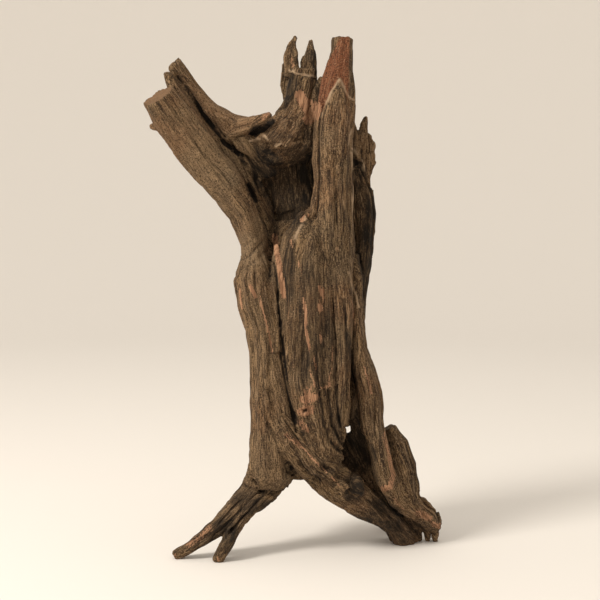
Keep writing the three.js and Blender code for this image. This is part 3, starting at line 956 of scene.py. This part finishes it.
class Nodes:
    """A short way to write the material's node tree."""

    def __init__(self, material):
        material.use_nodes = True
        self.tree = material.node_tree
        self.tree.nodes.clear()

    def add(self, kind, inputs=None, **settings):
        node = self.tree.nodes.new(kind)
        for name, value in settings.items():
            setattr(node, name, value)
        for name, value in (inputs or {}).items():
            if isinstance(value, bpy.types.NodeSocket):
                self.tree.links.new(value, node.inputs[name])
            else:
                node.inputs[name].default_value = value
        return node

    def attribute(self, name, output="Fac"):
        return self.add("ShaderNodeAttribute", attribute_name=name).outputs[output]

    def noise(self, vector, scale, detail, roughness):
        inputs = {"Vector": vector, "Scale": scale, "Detail": detail, "Roughness": roughness}
        return self.add("ShaderNodeTexNoise", inputs).outputs["Fac"]

    def stretched(self, vector, scale):
        inputs = {0: vector, 1: scale}
        return self.add("ShaderNodeVectorMath", inputs, operation="MULTIPLY").outputs["Vector"]

    def math(self, operation, first, second):
        return self.add("ShaderNodeMath", {0: first, 1: second}, operation=operation).outputs["Value"]

    def scaled(self, value, share, base=0.0):
        """The value times a share, on top of a base."""
        inputs = {0: value, 1: share, 2: base}
        return self.add("ShaderNodeMath", inputs, operation="MULTIPLY_ADD").outputs["Value"]

    def ramp(self, value, low, high):
        inputs = {"Value": value, "From Min": low, "From Max": high}
        return self.add("ShaderNodeMapRange", inputs, interpolation_type="SMOOTHSTEP").outputs["Result"]

    def mix(self, factor, first, second):
        """The first colour where the factor is 0, and the second where it is 1."""
        colours = [(*colour, 1.0) if isinstance(colour, tuple) else colour for colour in (first, second)]
        inputs = dict(zip(MIX_INPUTS, (factor, *colours)))
        return self.add("ShaderNodeMix", inputs, data_type="RGBA").outputs[MIX_RESULT]


def wood_noises(nodes):
    """The noises that the looks of the wood are made from, by name."""
    grain = nodes.attribute("grain", "Vector")
    place = nodes.add("ShaderNodeTexCoord").outputs["Object"]
    noises = {}
    for name, (stretch, detail, roughness) in GRAIN_NOISES.items():
        noises[name] = nodes.noise(nodes.stretched(grain, stretch), 1.0, detail, roughness)
    for name, (scale, detail, roughness) in EVEN_NOISES.items():
        noises[name] = nodes.noise(place, scale, detail, roughness)
    return noises


def layered(nodes, noises, colour, layer, gate=1.0):
    """The colour under a layer, which a low gate holds back."""
    cover = nodes.ramp(noises[layer.noise], layer.start, layer.full)
    share = nodes.math("MULTIPLY", cover, nodes.scaled(gate, layer.share))
    return nodes.mix(share, colour, layer.colour)


def old_wood(nodes, noises, painted_light, heart):
    """Brown wood in long streaks, with painted light where the light falls, warm and grey parts, wear
    and a painted highlight on small ridges, and red parts.
    """
    colour = nodes.mix(nodes.ramp(noises["streaks"], *STREAKS_SHOW), DARK_BROWN, LIGHT_BROWN)
    # Painted light: paler brown where the light falls
    colour = nodes.mix(painted_light, colour, PAINTED_LIGHT_BROWN)
    colour = layered(nodes, noises, colour, WARM_PATCHES)
    colour = layered(nodes, noises, colour, GREY_PATCHES)
    # Wear and painted highlight: small ridges lighter
    colour = nodes.mix(nodes.scaled(nodes.attribute("worn_and_highlit"), WORN_HIGHLIGHT_SHARE), colour, WORN_HIGHLIGHT_BROWN)
    colour = nodes.mix(heart, colour, HEART_RED)
    return layered(nodes, noises, colour, RUSTY_FLECKS)


def fibrous(nodes, noises, colour, lively):
    """The colour under fine lines, fibres, specks and grit, which show most where it is lively."""
    for layer in FIBRE_LAYERS:
        colour = layered(nodes, noises, colour, layer, lively)
    colour = layered(nodes, noises, colour, DARK_SPECKS)
    rough = nodes.scaled(nodes.ramp(noises["blotches"], *ROUGHNESS_SHOWS), ROUGH_MORE, ROUGH_LEAST)
    rough = nodes.math("MULTIPLY", rough, lively)
    for layer in GRIT_LAYERS:
        colour = layered(nodes, noises, colour, layer, rough)
    return layered(nodes, noises, colour, LIGHT_SPECKS)


def shaded_and_stained(nodes, noises, colour):
    """The colour under mottled painted shade in hollows, cracks, gaps and undersides and darker stained
    wood, with dust on it.
    """
    mottled = nodes.scaled(nodes.ramp(noises["mould"], *MOULD_SHOWS), MOULD_MORE, MOULD_LEAST)
    darkness = nodes.math("MULTIPLY", nodes.attribute("dark"), mottled)
    colour = nodes.mix(darkness, colour, SHADE_AND_STAIN_BLACK)
    return layered(nodes, noises, colour, DUST)


def bare_and_highlit(nodes, noises, colour):
    """The colour under streaks of exposed orange wood and painted highlights on lit ridges, which break
    up along the grain.
    """
    streak = nodes.attribute("bare_and_highlight")
    broken = nodes.scaled(noises["speckle"], BARE_AND_HIGHLIGHT_SPECKLE, nodes.scaled(noises["grit"], BARE_AND_HIGHLIGHT_GRIT))
    cover = nodes.ramp(nodes.math("ADD", streak, broken), *BARE_AND_HIGHLIGHT_SHOWS)
    cover = nodes.math("MULTIPLY", cover, nodes.ramp(streak, *BARE_AND_HIGHLIGHT_FADES_IN))
    bare_and_highlight = nodes.mix(nodes.ramp(noises["lines"], *BARE_AND_HIGHLIGHT_DARKENS), BARE_AND_HIGHLIGHT_ORANGE, BARE_AND_HIGHLIGHT_BROWN)
    return nodes.mix(nodes.scaled(cover, BARE_AND_HIGHLIGHT_SHARE), colour, bare_and_highlight)


def wood_colour(nodes, noises):
    """Grey-brown weathered wood with fibres along the grain, painted light, painted shade in cracks and
    hollows, and exposed orange patches with painted highlights.
    """
    # Painted light: paler wood where the light falls, with fewer fibres and less grit
    painted_light = nodes.scaled(nodes.attribute("painted_light"), PAINTED_LIGHT_SHARE)
    heart = nodes.attribute("heart")
    calm = nodes.math("MAXIMUM", painted_light, nodes.scaled(heart, HEART_CALM))
    lively = nodes.math("SUBTRACT", 1.0, calm)
    colour = old_wood(nodes, noises, painted_light, heart)
    colour = fibrous(nodes, noises, colour, lively)
    colour = nodes.mix(nodes.scaled(nodes.attribute("sawn"), SAWN_SHARE), colour, SAWN_BROWN)
    # Painted shade and darker stains, mottled
    colour = shaded_and_stained(nodes, noises, colour)
    # Exposed orange wood and painted highlights
    colour = bare_and_highlit(nodes, noises, colour)
    colour = nodes.mix(nodes.attribute("pale"), colour, EDGE_CREAM)
    # Painted shade: hollows darkened towards black
    return nodes.mix(nodes.ramp(nodes.attribute("hollow_shade"), *HOLLOW_SHADE_SHOWS), colour, HOLLOW_SHADE_BLACK)


def wood_material():
    """The one material of the wood, with its fine fibres and grit as a bump."""
    material = bpy.data.materials.new("weathered_wood")
    nodes = Nodes(material)
    noises = wood_noises(nodes)
    relief = 0.0
    for name, share in BUMP_SHARES.items():
        relief = nodes.scaled(noises[name], share, relief)
    bump_inputs = {"Strength": BUMP_STRENGTH, "Distance": BUMP_HEIGHT, "Height": relief}
    bump = nodes.add("ShaderNodeBump", bump_inputs)
    shader = nodes.add("ShaderNodeBsdfPrincipled", {
        "Base Color": wood_colour(nodes, noises),
        "Roughness": WOOD_ROUGHNESS,
        "Specular IOR Level": WOOD_SPECULAR,
        "Normal": bump.outputs["Normal"],
    })
    nodes.add("ShaderNodeOutputMaterial", {"Surface": shader.outputs["BSDF"]})
    return material


def floor_material():
    material = bpy.data.materials.new("pale_floor")
    nodes = Nodes(material)
    inputs = {"Base Color": (*FLOOR_COLOUR, 1.0), "Roughness": FLOOR_ROUGHNESS}
    shader = nodes.add("ShaderNodeBsdfPrincipled", inputs)
    nodes.add("ShaderNodeOutputMaterial", {"Surface": shader.outputs["BSDF"]})
    return material


def pale_floor():
    """A wide flat floor that curves up into a low wall all round, so that no edge of it shows."""
    bends = [0.5 * math.pi * step / FLOOR_STEPS for step in range(FLOOR_STEPS + 1)]
    points = []
    for bend in bends:
        radius = FLOOR_RADIUS + FLOOR_CURVE * math.sin(bend)
        height = FLOOR_CURVE * (1 - math.cos(bend))
        for corner in range(FLOOR_CORNERS):
            angle = 2 * math.pi * corner / FLOOR_CORNERS
            points.append((radius * math.cos(angle), radius * math.sin(angle), height))
    faces = [range(FLOOR_CORNERS)]
    for low in range(0, FLOOR_STEPS * FLOOR_CORNERS, FLOOR_CORNERS):
        high = low + FLOOR_CORNERS
        for corner in range(FLOOR_CORNERS):
            after = (corner + 1) % FLOOR_CORNERS
            faces.append([low + after, low + corner, high + corner, high + after])
    mesh = bpy.data.meshes.new("floor")
    mesh.from_pydata(points, [], faces)
    mesh.shade_smooth()
    mesh.materials.append(floor_material())
    return add_object("floor", mesh)


def light_scene():
    """Even light from all round, and one large soft key light from the upper left."""
    world = bpy.data.worlds.new("studio")
    world.use_nodes = True
    background = world.node_tree.nodes["Background"]
    background.inputs["Color"].default_value = (*SKY_COLOUR, 1.0)
    background.inputs["Strength"].default_value = 1.0
    bpy.context.scene.world = world
    bpy.context.scene.view_settings.view_transform = "Standard"

    data = bpy.data.lights.new("key", "AREA")
    data.shape = "DISK"
    data.size = KEY_SIZE
    data.energy = KEY_POWER
    data.color = KEY_COLOUR
    light = add_object("key", data)
    light.location = KEY_PLACE
    light.rotation_euler = (Vector(KEY_TARGET) - light.location).to_track_quat("-Z", "Y").to_euler()


def aim_camera():
    """Stands where the photo was taken: a little above the middle of the wood, from the front."""
    data = bpy.data.cameras.new("camera")
    data.sensor_width = CAMERA_SENSOR
    data.lens = CAMERA_LENS
    camera = add_object("camera", data)
    away = Vector((0, -math.cos(CAMERA_ELEVATION), math.sin(CAMERA_ELEVATION)))
    camera.location = CAMERA_TARGET + CAMERA_DISTANCE * away
    camera.rotation_euler = (-away).to_track_quat("-Z", "Y").to_euler()
    bpy.context.scene.camera = camera


grain = Grain(GUIDES)
driftwood = remeshed_copy(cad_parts["driftwood"], "driftwood_surface")
carve(driftwood, grain)
thinned(driftwood)
wood = wood_material()
for piece in (driftwood, splinters(driftwood, grain)):
    piece.data.materials.clear()
    piece.data.materials.append(wood)
    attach(piece, "root")
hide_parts("driftwood")

pale_floor()
light_scene()
aim_camera()
